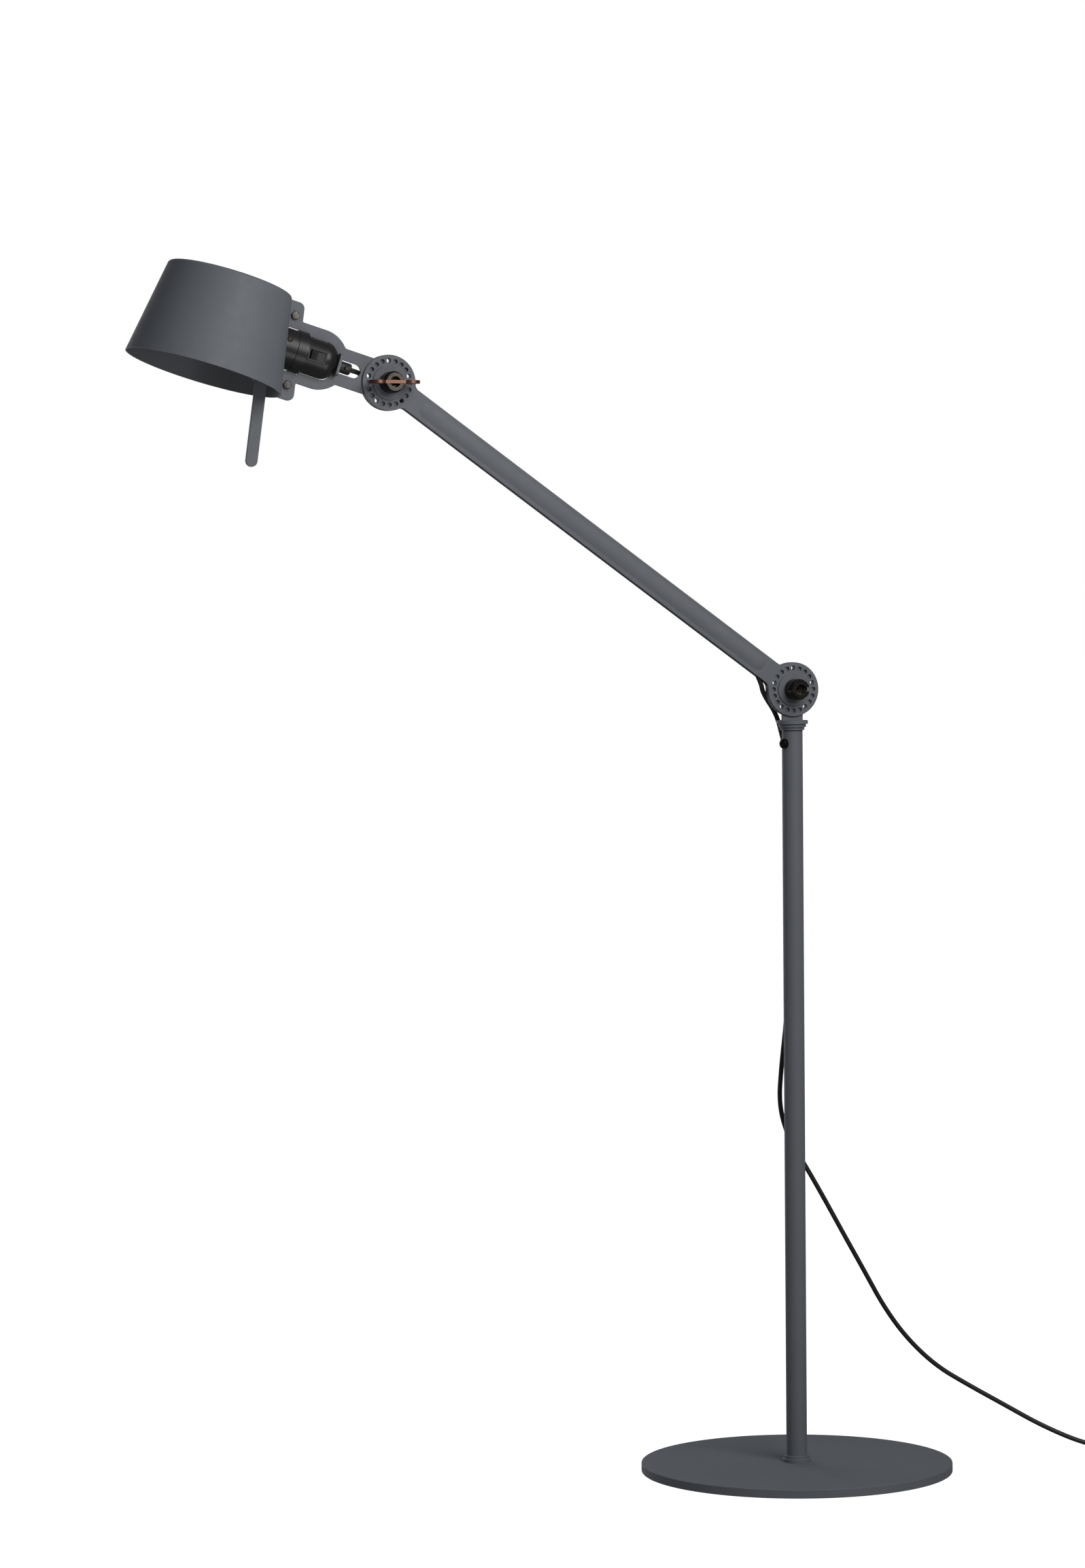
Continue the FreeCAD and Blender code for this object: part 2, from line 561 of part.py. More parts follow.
def grown_cone(by):
    """The shade's outer cone, carried on past both ends and grown by a skin."""
    low_r = SHADE_R_LOW + (SHADE_LOW + 60) * WALL_SLOPE
    high_r = SHADE_R_LOW - (60 - SHADE_LOW) * WALL_SLOPE
    return Part.makeCone(low_r + by, high_r + by, 120, V(SHADE_U, 0, -60), UP)


def build_handle():
    """A flat bar on the bracket's tongue that hangs out below the shade."""
    half_w = 5.6
    lean = math.atan(WALL_SLOPE)
    length = 82.5
    thick = 3.0
    outline = Part.Face(stadium(0.0, length, half_w, 0.0)).extrude(V(0, thick, 0))
    outline = outline.makeChamfer(0.4, [e for e in outline.Edges if e.CenterOfMass.y > thick - 0.01])
    down = V(-math.sin(lean), 0, -math.cos(lean))
    turn = FreeCAD.Rotation(down, FRONT, down.cross(FRONT), "XYZ")
    outline.Placement = FreeCAD.Placement(V(119.4, MID_T / 2, -28.0), turn)
    holes = [disc(1.6, 0, 6, 119.0, -29.2), disc(1.6, 0, 6, 118.0, -34.8)]
    save("handle", HEAD, cut(outline, *holes))
    rivets = []
    for u, v in ((119.0, -29.2), (118.0, -34.8)):
        shank = disc(1.5, -MID_T / 2, MID_T / 2 + thick, u, v)
        heads = [turned(RIVET_HEAD, V(u, MID_T / 2 + thick, v), FRONT),
                 turned(RIVET_HEAD, V(u, -MID_T / 2, v), -FRONT)]
        rivets.append(fuse(shank, *heads))
    save("handle_rivets", HEAD, *rivets)


def build_holder():
    """The lampholder, lying along the bracket with its mouth inside the shade."""
    wall = 2.0
    outer = rod(CAP_R, V(HOLDER_END, 0, 0), V(HOLDER_STEP, 0, 0))
    outer = outer.makeFillet(CAP_ROUND, circles_at(outer, HOLDER_END))
    inner = rod(CAP_R - wall, V(HOLDER_END + wall, 0, 0), V(HOLDER_STEP, 0, 0))
    inner = inner.makeFillet(CAP_ROUND - wall, circles_at(inner, HOLDER_END + wall))
    frame_hole = block(V(ROCKER_U - 8.6, 10, -5.4), V(ROCKER_U + 8.6, 22, 5.4))
    cap = cut(outer, inner, rod(5.05, V(HOLDER_END - 1, 0, 0), V(HOLDER_END + 4, 0, 0)), frame_hole)
    save("holder_cap", HEAD, cap)

    skirt = turned([(16.2, HOLDER_STEP), (SKIRT_R, HOLDER_STEP), (SKIRT_R, HOLDER_MOUTH - 0.6),
                    (SKIRT_R - 0.6, HOLDER_MOUTH), (16.2, HOLDER_MOUTH)], axis=OUT)
    band = turned([(SKIRT_R - 0.1, HOLDER_STEP), (SKIRT_R + 0.5, HOLDER_STEP + 0.5),
                   (SKIRT_R + 0.5, HOLDER_STEP + 10.5), (SKIRT_R - 0.1, HOLDER_STEP + 11)], axis=OUT)
    screw_way = V(0, math.cos(math.radians(20)), math.sin(math.radians(20)))
    screw_at = V(106.5, 0, 0)
    skirt = cut(fuse(skirt, band), rod(1.7, screw_at, screw_at + screw_way * 22))
    save("holder_skirt", HEAD, skirt)

    core = rod(16.0, V(HOLDER_STEP + 0.2, 0, 0), V(HOLDER_STEP + 9, 0, 0))
    sleeve = turned([(14.3, HOLDER_STEP + 9), (16.0, HOLDER_STEP + 9), (16.0, HOLDER_MOUTH - 3),
                     (14.3, HOLDER_MOUTH - 3)], axis=OUT)
    core = cut(fuse(core, sleeve), rod(1.35, screw_at + screw_way * 14, screw_at + screw_way * 17))
    save("holder_core", HEAD, core)
    seat = screw_at + screw_way * SKIRT_R
    head = turned([(0, 0), (2.6, 0), (2.6, 0.5), (1.9, 0.8), (0, 0.8)], seat, screw_way)
    screw = fuse(head, rod(1.3, screw_at + screw_way * 14.5, seat))
    save("holder_screw", HEAD, screw)

    thread = turned([(13.6, HOLDER_STEP + 12), (14.2, HOLDER_STEP + 12), (14.2, HOLDER_MOUTH - 5),
                     (13.6, HOLDER_MOUTH - 5)], axis=OUT)
    save("holder_thread_shell", HEAD, thread)
    strip = block(V(HOLDER_STEP + 9, -3, 2), V(HOLDER_STEP + 9.6, 3, 11))
    tongue = block(V(HOLDER_STEP + 9.6, -3, -4), V(HOLDER_STEP + 10.2, 3, 6))
    save("holder_contact", HEAD, fuse(strip, tongue))

    nipple = cut(rod(5.0, V(46.0, 0, 0), V(61.0, 0, 0)), rod(3.6, V(46.0, 0, 0), V(61.0, 0, 0)))
    save("holder_nipple", HEAD, nipple)
    nut = turned([(5.02, 56.4), (7.0, 56.4), (7.0, 59.0), (5.02, 59.0)], axis=OUT)
    save("holder_locknut", HEAD, nut)

    relief = turned([(3.1, 38.6), (4.7, 38.6), (5.5, 39.6), (5.5, TAB_U), (5.03, TAB_U), (5.03, 45.9),
                     (2.45, 45.9), (2.45, 41.8)], axis=OUT)
    grip = rod(1.6, V(43.6, 2.4, 0), V(43.6, 6, 0))
    save("strain_relief", HEAD, cut(relief, grip))
    grub = turned([(0, 2.5), (1.55, 2.5), (1.55, 5.5), (2.3, 5.5), (2.3, 6.7), (1.9, 7.1), (0, 7.1)],
                  V(43.6, 0, 0), FRONT)
    save("strain_relief_screw", HEAD, cut(grub, hexagon(2.0, 5.8, 7.2, 43.6)))

    # rocker switch, let into the front of the cap
    outer_box = block(V(ROCKER_U - 8.9, 15.6, -6.1), V(ROCKER_U + 8.9, 18.6, 6.1))
    stem = block(V(ROCKER_U - 8.4, 10.5, -5.2), V(ROCKER_U + 8.4, 18.0, 5.2))
    outer_box = outer_box.makeFillet(1.0, all_edges_along(outer_box, FRONT))
    opening = block(V(ROCKER_U - 7.6, 12.0, -4.5), V(ROCKER_U + 7.6, 19.0, 4.5))
    pin = rod(0.95, V(ROCKER_U, 14.2, -5.2), V(ROCKER_U, 14.2, 5.2))
    shell_inside = rod(CAP_R + 0.05, V(60, 0, 0), V(95, 0, 0))
    bezel = cut(outer_box, shell_inside)
    save("switch_frame", HEAD, fuse(cut(fuse(bezel, stem), opening), pin))
    half_l, half_v = 6.9, 4.2
    sides = [(-half_l, 2.6), (-half_l, 4.6), (-3.2, 3.7), (0.0, 3.3), (3.2, 3.7), (half_l, 4.6),
             (half_l, 2.6), (2.0, -1.7), (-2.0, -1.7)]
    wire = Part.makePolygon([V(u, y, -half_v) for u, y in sides + sides[:1]])
    rocker = Part.Face(wire).extrude(V(0, 0, 2 * half_v))
    rocker = cut(rocker, rod(0.95 + RUN, V(0, 0, -half_v), V(0, 0, half_v)))
    rocker.rotate(V(0, 0, 0), UP, 8.0)
    rocker.translate(V(ROCKER_U, 14.2, 0))
    save("switch_rocker", HEAD, rocker)


def build_bulb():
    """A plain LED bulb in the holder."""
    seat = HOLDER_STEP + 12.0
    tip = turned([(0, seat - 1.4), (3.5, seat - 1.4), (4.5, seat), (4.5, seat + 1), (0, seat + 1)], axis=OUT)
    save("bulb_tip", HEAD, tip)
    neck, shoulder = 123.0, 162.0
    screw_cap = turned([(0, seat + 1), (9.0, seat + 1), (13.2, seat + 5), (13.2, neck), (0, neck)], axis=OUT)
    save("bulb_cap", HEAD, screw_cap)
    body = turned([(0, neck), (13.4, neck), (15.0, 128.0), (24.0, 152.0), (28.0, shoulder), (0, shoulder)],
                  axis=OUT)
    save("bulb_body", HEAD, body)
    globe = Part.makeSphere(30.0, V(172.8, 0, 0))
    globe = globe.common(rod(40, V(shoulder, 0, 0), V(215, 0, 0)))
    save("bulb_globe", HEAD, globe)


# ---- the free cord, from the top of the clip to its plug ----
FREE_CORD = [
    (5.0, 13.0, CLIP_Z + CLIP_HALF), (5, 14, 605), (4, 15, 543), (3, 17, 487), (0, 19, 434), (-4, 23, 388),
    (-5, 27, 351), (5, 27, 318), (22, 25, 291), (42, 23, 256), (61, 22, 222), (82, 22, 186), (103, 22, 149),
    (127, 21, 117), (156, 17, 89), (188, 10, 69), (222, 2, 49), (257, -8, 28), (293, -22, 11),
    (322, -32.5, 4), (348, -42.3, 2.4),
]
LAY_TURN = -20.0         # the coil and plug are set out along this heading
COIL_AT = (367.3, -14.2)
COIL_STEP = 4.7          # from one turn to the next, four turns wide and two layers high
PLUG_H = 13.8


def build_free_cord():
    save("cord", WORLD, cord_tube("cord", FREE_CORD))
    lay = FreeCAD.Placement(V(COIL_AT[0], COIL_AT[1], 0), FreeCAD.Rotation(UP, LAY_TURN))
    side = COIL_R + 1.5 * COIL_STEP
    inner, outer, high = 2 * COIL_R - side - CORD_R, side + CORD_R, COIL_STEP + 2 * CORD_R
    ring = turned([(inner, 1.5), (inner + 1.5, 0), (outer - 1.5, 0), (outer, 1.5), (outer, high - 1.5),
                   (outer - 1.5, high), (inner + 1.5, high), (inner, high - 1.5)])
    save("cord_coil", lay, ring)

    # the tail leaves the coil's upper layer and goes straight into the plug's sleeve
    mid_z = PLUG_H / 2
    sleeve_y = 30.0
    plug_y = 52.0
    tail = rod(CORD_R, V(side, 4.0, mid_z), V(side, sleeve_y, mid_z))
    save("cord_tail", lay, tail)
    sleeve = turned([(0, sleeve_y), (3.2, sleeve_y), (4.6, plug_y), (0, plug_y)],
                    V(side, 0, mid_z), FRONT)
    save("plug_sleeve", lay, sleeve)
    shape = [(side - 9, plug_y), (side + 9, plug_y), (side + 17.5, plug_y + 15), (side + 17.5, plug_y + 36),
             (side - 17.5, plug_y + 36), (side - 17.5, plug_y + 15)]
    wire = Part.makePolygon([V(x, y, 0) for x, y in shape + shape[:1]])
    body = Part.Face(wire).extrude(V(0, 0, PLUG_H))
    body = body.makeFillet(2.5, [e for e in body.Edges if e.CenterOfMass.y < plug_y + 35.9])
    pin_x, pin_r = 9.3, 2.0
    roots = [V(side + x, plug_y + 30, mid_z) for x in (-pin_x, pin_x)]
    save("plug_body", lay, cut(body, *[rod(pin_r, root, root + FRONT * 6) for root in roots]))
    save("plug_pins", lay, *[rod(pin_r, root, root + FRONT * 25) for root in roots])


def build_held_cord():
    save("head_cord", WORLD, cord_tube("head_cord", HEAD_CORD))
    save("arm_cord", WORLD, cord_tube("arm_cord", ARM_CORD))
    save("elbow_cord", WORLD, cord_tube("elbow_cord", ELBOW_CORD))
    save("swivel_cord", WORLD, cord_tube("swivel_cord", SWIVEL_CORD))


def main():
    os.makedirs("parts", exist_ok=True)
    build_stand()
    build_cord_clip()
    build_swivel()
    build_arm()
    build_joint("elbow", ELBOW)
    build_joint("head", HEAD_LEVEL)
    build_nuts()
    build_bracket()
    build_shade()
    build_handle()
    build_holder()
    build_bulb()
    build_held_cord()
    build_free_cord()


main()
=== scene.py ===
import json
import math

import bpy
from mathutils import Matrix, Vector


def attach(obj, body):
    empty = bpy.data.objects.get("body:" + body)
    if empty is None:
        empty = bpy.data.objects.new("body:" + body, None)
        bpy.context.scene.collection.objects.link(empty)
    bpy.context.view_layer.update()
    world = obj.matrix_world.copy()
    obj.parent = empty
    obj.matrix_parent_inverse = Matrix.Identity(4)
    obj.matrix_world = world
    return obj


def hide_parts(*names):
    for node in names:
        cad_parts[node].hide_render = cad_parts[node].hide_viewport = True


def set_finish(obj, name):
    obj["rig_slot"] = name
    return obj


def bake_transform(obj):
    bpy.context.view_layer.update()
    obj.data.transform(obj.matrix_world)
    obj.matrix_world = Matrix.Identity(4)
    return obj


# The looks of a floor-standing architect lamp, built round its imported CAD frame.
# Metres, +Z up, the origin on the floor under the pole, the front towards -Y.

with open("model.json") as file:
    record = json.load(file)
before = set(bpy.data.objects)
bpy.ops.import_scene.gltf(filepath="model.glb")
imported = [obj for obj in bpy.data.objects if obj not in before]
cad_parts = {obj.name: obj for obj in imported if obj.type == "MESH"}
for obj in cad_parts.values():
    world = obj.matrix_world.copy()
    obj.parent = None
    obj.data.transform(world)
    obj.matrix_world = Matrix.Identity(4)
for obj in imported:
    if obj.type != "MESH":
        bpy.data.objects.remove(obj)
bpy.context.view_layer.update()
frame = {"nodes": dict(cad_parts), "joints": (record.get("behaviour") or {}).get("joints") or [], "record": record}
NODES = frame["nodes"]
MM = 0.001

# ---- joints, read from the frame ----
JOINTS = {joint["name"]: joint for joint in frame["joints"]}
HEAD_AT = Vector(JOINTS["head_tilt"]["pos_m"])
ELBOW_AT = Vector(JOINTS["arm_lift"]["pos_m"])
ARM_TILT = math.atan2(HEAD_AT.z - ELBOW_AT.z, -HEAD_AT.x)

# ---- camera ----
HEADING = math.radians(20.0)       # to the right of straight ahead
PITCH = math.radians(2.03)         # down
ROLL = math.radians(-0.47)
EYE = Vector((-1.773, -4.169, 0.8253))
LENS = 108.2                       # mm, for a sensor 36 mm high


def build_camera():
    right = Vector((math.cos(HEADING), -math.sin(HEADING), 0))
    level = Vector((math.sin(HEADING), math.cos(HEADING), 0))
    up = Vector((0, 0, 1))
    ahead = level * math.cos(PITCH) - up * math.sin(PITCH)
    top = up * math.cos(PITCH) + level * math.sin(PITCH)
    side = right * math.cos(ROLL) + top * math.sin(ROLL)
    top = top * math.cos(ROLL) - right * math.sin(ROLL)
    data = bpy.data.cameras.new("camera")
    data.sensor_fit = "VERTICAL"
    data.sensor_height = 36.0
    data.lens = LENS
    data.clip_end = 50.0
    camera = bpy.data.objects.new("camera", data)
    turn = Matrix((side, top, -ahead)).transposed().to_4x4()
    camera.matrix_world = Matrix.Translation(EYE) @ turn
    bpy.context.scene.collection.objects.link(camera)
    bpy.context.scene.camera = camera


# ---- cords ----
CORD_D = 4.6 * MM
CORD_R = CORD_D / 2
FREE_CORD = [
    (5, 13, 659), (5, 14, 605), (4, 15, 543), (3, 17, 487), (0, 19, 434), (-4, 23, 388),
    (-5, 27, 351), (5, 27, 318), (22, 25, 291), (42, 23, 256), (61, 22, 222), (82, 22, 186),
    (103, 22, 149), (127, 21, 117), (156, 17, 89), (188, 10, 69), (222, 2, 49), (257, -8, 28),
    (293, -22, 11), (322, -32.5, 4), (348, -42.3, 2.4),
]
COIL_AT = Vector((367.3, -14.2, 0)) * MM
COIL_R = 26.0 * MM
COIL_STEP = 4.7 * MM
COIL_OUTER = COIL_R + 1.5 * COIL_STEP
LAID_Z = CORD_R + 0.1 * MM         # the cord's centre where it lies on the floor
COIL_TURNS = 6.25
POINTS_PER_TURN = 16
LAY_TURN = math.radians(-20.0)
TAIL_END = 31.0 * MM
TAIL_Z = 6.9 * MM


def in_metres(points):
    return [Vector(p) * MM for p in points]


def arm_point(out, up):
    """A point in the arm's plane: out along the arm from the elbow, and up across it."""
    return ELBOW_AT + Vector((-out * math.cos(ARM_TILT) + up * math.sin(ARM_TILT), 0,
                              out * math.sin(ARM_TILT) + up * math.cos(ARM_TILT)))


def spline_object(name, points):
    """One smooth open NURBS curve through its own control points."""
    data = bpy.data.curves.new(name, "CURVE")
    data.dimensions = "3D"
    data.resolution_u = 10
    line = data.splines.new("NURBS")
    line.points.add(len(points) - 1)
    for point, at in zip(line.points, points):
        point.co = (at[0], at[1], at[2], 1.0)
    line.order_u = 3
    line.use_endpoint_u = True
    piece = bpy.data.objects.new(name, data)
    bpy.context.scene.collection.objects.link(piece)
    return piece


def round_bevel(curve, radius):
    curve.data.bevel_depth = radius
    curve.data.bevel_resolution = 6
    curve.data.use_fill_caps = True


def mesh_of(curve):
    """The curve as a mesh: its line alone without a bevel, its tube with one."""
    bpy.context.view_layer.update()
    depsgraph = bpy.context.evaluated_depsgraph_get()
    return bpy.data.meshes.new_from_object(curve.evaluated_get(depsgraph))


def line_points(curve):
    """The points along an unbevelled curve."""
    line = mesh_of(curve)
    points = [Vector(v.co) for v in line.vertices]
    bpy.data.meshes.remove(line)
    return points


def as_mesh(curve):
    """The curve's tube as a mesh object of the same name."""
    mesh = mesh_of(curve)
    name = curve.name
    data = curve.data
    bpy.data.objects.remove(curve)
    bpy.data.curves.remove(data)
    piece = bpy.data.objects.new(name, mesh)
    bpy.context.scene.collection.objects.link(piece)
    mesh.polygons.foreach_set("use_smooth", [True] * len(mesh.polygons))
    return piece


def step_share(turn, first, last):
    """0 before first, 1 after last, and smooth between."""
    share = min(1.0, max(0.0, (turn - first) / (last - first)))
    return share * share * (3 - 2 * share)


def coil_points():
    """Four turns wide and two layers high: inward below, up on the inside, outward above."""
    swell = 1 / math.cos(math.pi / POINTS_PER_TURN)
    points = []
    for i in range(1, round(COIL_TURNS * POINTS_PER_TURN) + 1):
        turn = i / POINTS_PER_TURN
        steps_in = sum(step_share(turn, start, start + 0.25) for start in (0.35, 1.35, 2.35))
        steps_out = sum(step_share(turn, start, start + 0.25) for start in (3.75, 4.75, 5.75))
        radius = (COIL_OUTER - (steps_in - steps_out) * COIL_STEP) * swell
        angle = 2 * math.pi * turn - math.pi / 2
        height = LAID_Z + step_share(turn, 3.05, 3.33) * COIL_STEP
        points.append(Vector((radius * math.cos(angle), radius * math.sin(angle), height)))
    return points


def build_free_cord():
    lay = Matrix.Translation(COIL_AT) @ Matrix.Rotation(LAY_TURN, 4, "Z")
    start = [Vector((0, -COIL_OUTER, LAID_Z))]
    tail = [Vector((COIL_OUTER, y, TAIL_Z)) for y in (8 * MM, 19 * MM, TAIL_END)]
    laid = [lay @ p for p in start + coil_points() + tail]
    route = spline_object("mains_cord", in_metres(FREE_CORD) + laid)
    followed = line_points(route)
    round_bevel(route, CORD_R)
    cord = as_mesh(route)
    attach(cord, "stand")
    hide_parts("cord", "cord_coil", "cord_tail")
    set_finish(cord, "cord_black")
    return cord


def build_held_cords():
    """The lead where it crosses each joint, as a fixed tube in the rest pose."""
    hx, hz = HEAD_AT.x / MM, HEAD_AT.z / MM
    head = in_metres([
        (hx - 46.28, 0, hz + 14.5), (hx - 34.35, 0, hz + 10.77), (hx - 24.3, 7.8, hz + 8.9),
        (hx - 14.5, 9.2, hz - 2), (hx - 2.5, 9, hz - 13), (hx + 15.3, 8.6, hz - 16.8),
        (hx + 31, 7.2, hz - 23.6), (hx + 43.9, 3, hz - 31.5), (hx + 55, 0, hz - 39.33),
        (hx + 67.5, 0, hz - 48.26),
    ])
    arm_end = arm_point(37.25 * MM, -9.6 * MM)
    elbow = [arm_end] + in_metres([(-31.97, 0, 760), (-28.3, 5.6, 752.3), (-22.5, 7.4, 743.5),
                                   (-15.1, 10.6, 735), (-8.1, 15.7, 724.5), (-6, 16.45, 717.75)])
    swivel = in_metres([(-6, 16.45, 717.75), (-3.9, 17.2, 711), (-0.4, 17, 697.5), (2.6, 15.6, 681),
                        (4.7, 13.3, 664), (5, 13, 659)])
    crossings = [
        ("head_lead", "head_cord", head, "arm", "head", head[6], head[2]),
        ("elbow_lead", "elbow_cord", elbow, "swivel", "arm", elbow[-1], elbow[0]),
        ("swivel_lead", "swivel_cord", swivel, "stand", "swivel", swivel[-1], swivel[0]),
    ]
    pieces = []
    for name, node, points, first, last, start, end in crossings:
        curve = spline_object(name, points)
        round_bevel(curve, CORD_R)
        piece = as_mesh(curve)
        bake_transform(piece)
        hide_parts(node)
        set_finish(piece, "cord_black")
        pieces.append(piece)
    return pieces


# ---- shader helpers ----
class Shader:
    """One procedural material, built node by node round a Principled shader."""

    def __init__(self, name, **fixed):
        self.material = bpy.data.materials.new(name)
        self.material.use_nodes = True
        self.tree = self.material.node_tree
        self.surface = self.tree.nodes["Principled BSDF"]
        for socket, value in fixed.items():
            self.surface.inputs[socket.replace("_", " ")].default_value = value
        place = self.node("ShaderNodeTexCoord")
        self.place = place.outputs["Object"]
        self.facing = place.outputs["Normal"]

    def node(self, kind, **inputs):
        node = self.tree.nodes.new(kind)
        for socket, value in inputs.items():
            self.feed(node.inputs[socket.replace("_", " ")], value)
        return node

    def feed(self, socket, value):
        if isinstance(value, bpy.types.NodeSocket):
            self.tree.links.new(value, socket)
        else:
            socket.default_value = value

    def stretched(self, stretch):
        """The object's own position, scaled apart along each axis."""
        return self.node("ShaderNodeMapping", Vector=self.place, Scale=stretch).outputs["Vector"]

    def noise(self, scale, detail=3.0, roughness=0.55, stretch=None, distortion=0.0):
        """Noise with this many features to the metre."""
        at = self.stretched(stretch) if stretch else self.place
        node = self.node("ShaderNodeTexNoise", Vector=at, Scale=scale, Detail=detail, Roughness=roughness,
                         Distortion=distortion)
        return node.outputs["Fac"]

    def remap(self, value, low, high, to_low=0.0, to_high=1.0):
        node = self.node("ShaderNodeMapRange", Value=value)
        limits = {"From Min": low, "From Max": high, "To Min": to_low, "To Max": to_high}
        for socket, number in limits.items():
            node.inputs[socket].default_value = number
        return node.outputs["Result"]

    def math(self, operation, first, second):
        node = self.tree.nodes.new("ShaderNodeMath")
        node.operation = operation
        node.use_clamp = operation in ("MULTIPLY", "ADD")
        self.feed(node.inputs[0], first)
        self.feed(node.inputs[1], second)
        return node.outputs[0]

    def blend(self, share, first, second):
        """A colour from first at share 0 to second at share 1."""
        node = self.tree.nodes.new("ShaderNodeMix")
        node.data_type = "RGBA"
        self.feed(node.inputs["Factor"], share)
        self.feed(node.inputs["A"], first + (1,) if isinstance(first, tuple) else first)
        self.feed(node.inputs["B"], second + (1,) if isinstance(second, tuple) else second)
        return node.outputs["Result"]

    def edges(self, radius, low=0.04, high=0.3):
        """1 where the surface turns a corner within the radius, else 0."""
        bevel = self.tree.nodes.new("ShaderNodeBevel")
        bevel.samples = 6
        bevel.inputs["Radius"].default_value = radius
        flat = self.node("ShaderNodeNewGeometry").outputs["Normal"]
        dot = self.tree.nodes.new("ShaderNodeVectorMath")
        dot.operation = "DOT_PRODUCT"
        self.feed(dot.inputs[0], bevel.outputs["Normal"])
        self.feed(dot.inputs[1], flat)
        return self.remap(self.math("SUBTRACT", 1.0, dot.outputs["Value"]), low, high)

    def along(self, axis):
        """How far the surface faces along an axis of the object, from -1 to 1."""
        dot = self.tree.nodes.new("ShaderNodeVectorMath")
        dot.operation = "DOT_PRODUCT"
        self.feed(dot.inputs[0], self.facing)
        dot.inputs[1].default_value = axis
        return dot.outputs["Value"]

    def relief(self, *layers):
        """Stacks (height, depth in metres) layers as bump."""
        normal = None
        for height, depth in layers:
            bump = self.node("ShaderNodeBump", Height=height, Distance=depth, Strength=1.0)
            if normal:
                self.tree.links.new(normal, bump.inputs["Normal"])
            normal = bump.outputs["Normal"]
        self.tree.links.new(normal, self.surface.inputs["Normal"])

    def finish(self, colour=None, roughness=None):
        if colour:
            self.feed(self.surface.inputs["Base Color"], colour)
        if roughness:
            self.feed(self.surface.inputs["Roughness"], roughness)
        return self.material


# ---- materials ----
def powder_coat():
    """Slate powder coat: fine orange peel, faint mottling, and edges lightened as a painted highlight."""
    coat = Shader("powder_coat", IOR=1.5)
    peel = coat.noise(900.0, 2.0)
    grit = coat.noise(2600.0, 1.0)
    mottle = coat.noise(14.0, 4.0)
    speck = coat.remap(coat.noise(1500.0, 1.0), 0.42, 0.62)
    colour = coat.blend(coat.remap(mottle, 0.3, 0.7), (0.111, 0.118, 0.132), (0.121, 0.128, 0.142))
    colour = coat.blend(coat.math("MULTIPLY", speck, 0.14), colour, (0.092, 0.099, 0.111))
    # painted highlight: edges within half a millimetre are lightened towards a paler slate
    colour = coat.blend(coat.math("MULTIPLY", coat.edges(0.5 * MM), 0.25), colour, (0.17, 0.18, 0.195))
    coat.relief((peel, 0.00001), (grit, 0.000004))
    return coat.finish(colour, coat.remap(coat.noise(120.0), 0.3, 0.7, 0.60, 0.70))


def blackened_steel(name="blackened_steel", worn_face=0.0):
    """Oiled black oxide over turned steel, with bright edges that are part rubbed wear and part painted highlight.
    """
    steel = Shader(name, Metallic=1.0)
    turning = steel.noise(60.0, 2.0, stretch=(1.0, 60.0, 1.0))
    patch = steel.noise(260.0, 4.0)
    colour = steel.blend(steel.remap(patch, 0.3, 0.7), (0.017, 0.014, 0.012), (0.030, 0.024, 0.020))
    patchy_wear_and_highlight = steel.remap(patch, 0.3, 0.55, 0.55, 1.0)
    # bright edges: part rubbed wear, part painted highlight, patchy with the oxide
    wear_and_highlight = steel.math("MULTIPLY", steel.edges(0.3 * MM, 0.04, 0.22), patchy_wear_and_highlight)
    if worn_face:
        front = steel.remap(steel.along((0, -1, 0)), 0.8, 0.95, 0.0, worn_face)
        smeared = steel.remap(patch, 0.25, 0.75, 0.65, 1.0)
        wear_and_highlight = steel.math("ADD", wear_and_highlight, steel.math("MULTIPLY", front, smeared))
    colour = steel.blend(wear_and_highlight, colour, (0.42, 0.38, 0.33))
    steel.relief((turning, 0.000005), (patch, 0.000002))
    return steel.finish(colour, steel.remap(steel.noise(700.0), 0.3, 0.7, 0.30, 0.38))


def copper():
    """Satin copper, brushed along the key and toned brown in patches, with paler edges as a painted highlight."""
    metal = Shader("satin_copper", Metallic=1.0)
    brushed = metal.noise(90.0, 3.0, stretch=(1.0, 14.0, 14.0))
    patina = metal.noise(120.0, 5.0, 0.6, distortion=0.4)
    colour = metal.blend(metal.remap(patina, 0.32, 0.68), (0.150, 0.076, 0.050), (0.215, 0.112, 0.076))
    # painted highlight: paler copper along the edges
    colour = metal.blend(metal.math("MULTIPLY", metal.edges(0.4 * MM), 0.35), colour, (0.45, 0.28, 0.20))
    metal.relief((brushed, 0.000004), (metal.noise(1500.0), 0.000001))
    return metal.finish(colour, metal.remap(brushed, 0.3, 0.7, 0.30, 0.42))


def plated_steel():
    """Zinc-plated screws and nuts, with grime where the plating dulls, and bright edges as a painted highlight."""
    metal = Shader("plated_steel", Metallic=1.0)
    dull = metal.noise(420.0, 4.0)
    colour = metal.blend(metal.remap(dull, 0.3, 0.7), (0.050, 0.045, 0.040), (0.095, 0.088, 0.079))
    # painted highlight: bright rims along the edges of the screws and nuts
    colour = metal.blend(metal.math("MULTIPLY", metal.edges(0.2 * MM), 0.6), colour, (0.46, 0.44, 0.41))
    metal.relief((metal.noise(900.0, stretch=(1.0, 8.0, 1.0)), 0.000006))
    return metal.finish(colour, metal.remap(dull, 0.3, 0.7, 0.36, 0.24))


